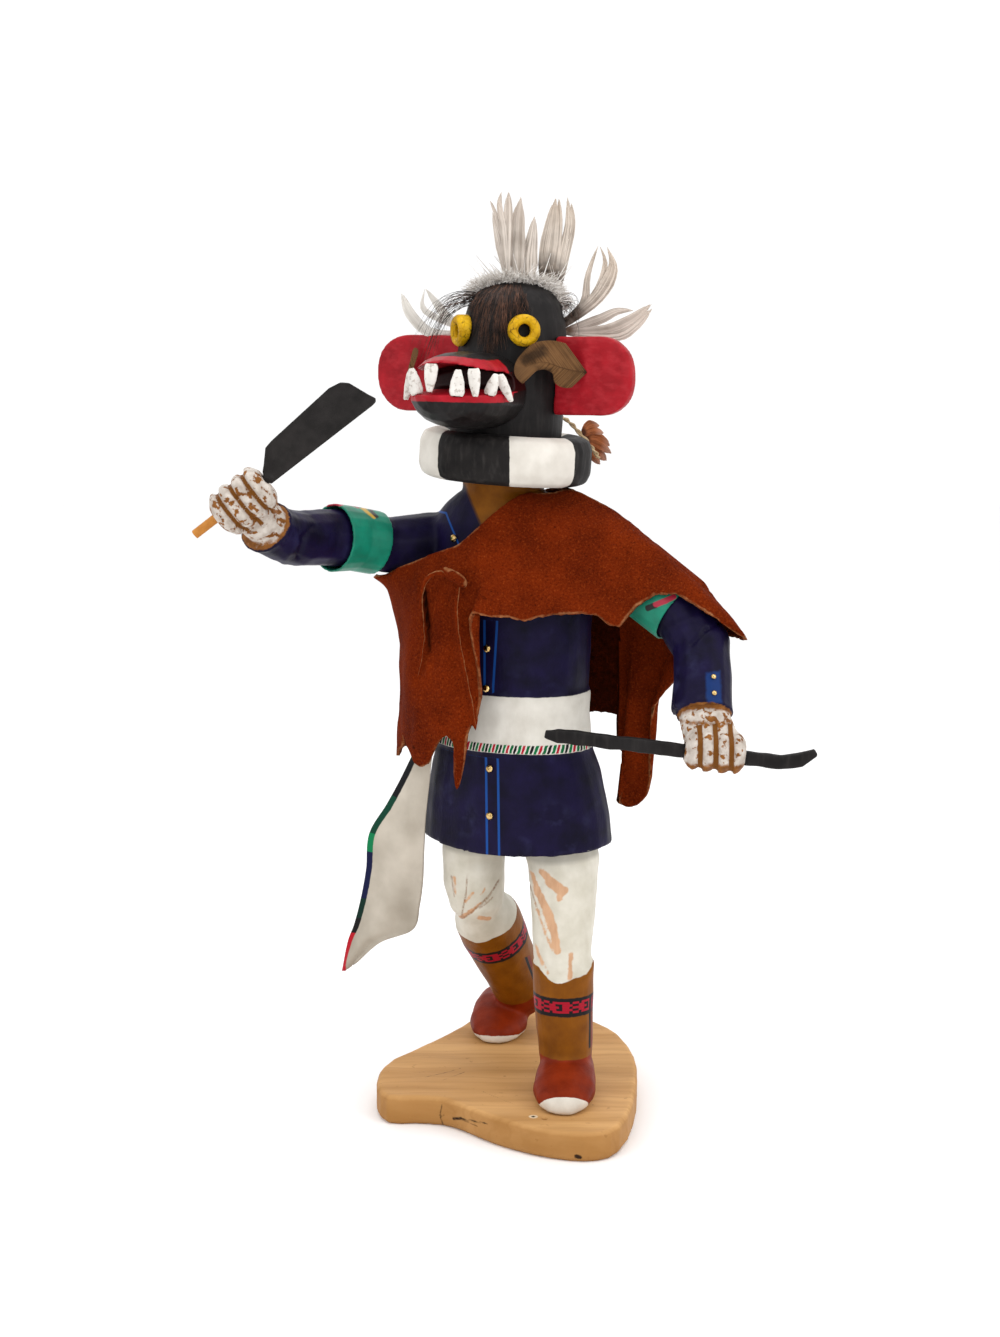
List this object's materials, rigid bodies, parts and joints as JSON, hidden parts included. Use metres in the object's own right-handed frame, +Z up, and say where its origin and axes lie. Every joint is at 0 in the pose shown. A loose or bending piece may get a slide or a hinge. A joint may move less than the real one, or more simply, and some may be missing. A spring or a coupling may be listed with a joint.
{
  "type": "kachina doll",
  "caption": "Carved and painted standing figure of an ogre dancer striding on a flat wooden base, with a suede cape, feathers, a knife in the raised hand and a bow stick",
  "frame": {"origin": "middle of the base's underside", "axes": "+Z up; the viewer of the picture stands on the -Y side; +X is to the picture's right"},
  "size_m": [0.2577, 0.1732, 0.4068],
  "materials": {
    "cottonwood": "raw sanded cottonwood",
    "carved_paint": "carved wood, painted in matt colours",
    "black_paint": "carved wood, painted black",
    "red_paint": "carved wood, painted red",
    "yellow_paint": "turned wood, painted yellow",
    "white_paint": "carved wood, painted white",
    "turquoise_leather": "leather painted turquoise",
    "rust_suede": "rust-brown suede",
    "feather": "pale feather",
    "brown_feather": "brown feather",
    "horsehair": "black horsehair",
    "rabbit_fur": "pale rabbit fur",
    "pale_hide": "twisted hide thong",
    "brass": "polished brass pin heads",
    "painted_cloth": "stiff cloth painted white"
  },
  "bodies": {
    "root": {"base": "cottonwood", "body": "carved_paint", "arm_right": "carved_paint", "arm_left": "carved_paint", "armband_right": "turquoise_leather", "armband_left": "turquoise_leather", "knife": "black_paint", "bow_stick": "black_paint", "head": "black_paint", "snout": "black_paint", "eye_near": "yellow_paint", "eye_far": "yellow_paint", "ear_near": "red_paint", "ear_far": "red_paint", "ruff": "white_paint", "hair": "horsehair", "fur": "rabbit_fur", "back_thong": "pale_hide", "cape": "rust_suede", "sash_end": "painted_cloth", "tooth_lower_front": "white_paint", "tooth_upper_front": "white_paint", "tooth_lower_far": "white_paint", "tooth_upper_far": "white_paint", "tooth_upper_near": "white_paint", "tooth_lower_near": "white_paint", "tooth_corner_near": "white_paint", "feather_crown_left": "feather", "feather_crown_middle": "feather", "feather_crown_right": "feather", "feather_side_upper": "feather", "feather_side_lower": "feather", "feather_far_upper": "feather", "feather_far_lower": "feather", "feather_ear_near": "brown_feather", "feather_ear_far": "brown_feather", "feather_back_1": "brown_feather", "feather_back_2": "brown_feather", "feather_back_3": "brown_feather", "button_1": "brass", "button_2": "brass", "button_3": "brass", "button_4": "brass", "button_5": "brass", "cuff_pin_1": "brass", "cuff_pin_2": "brass"}
  },
  "joints": []
}
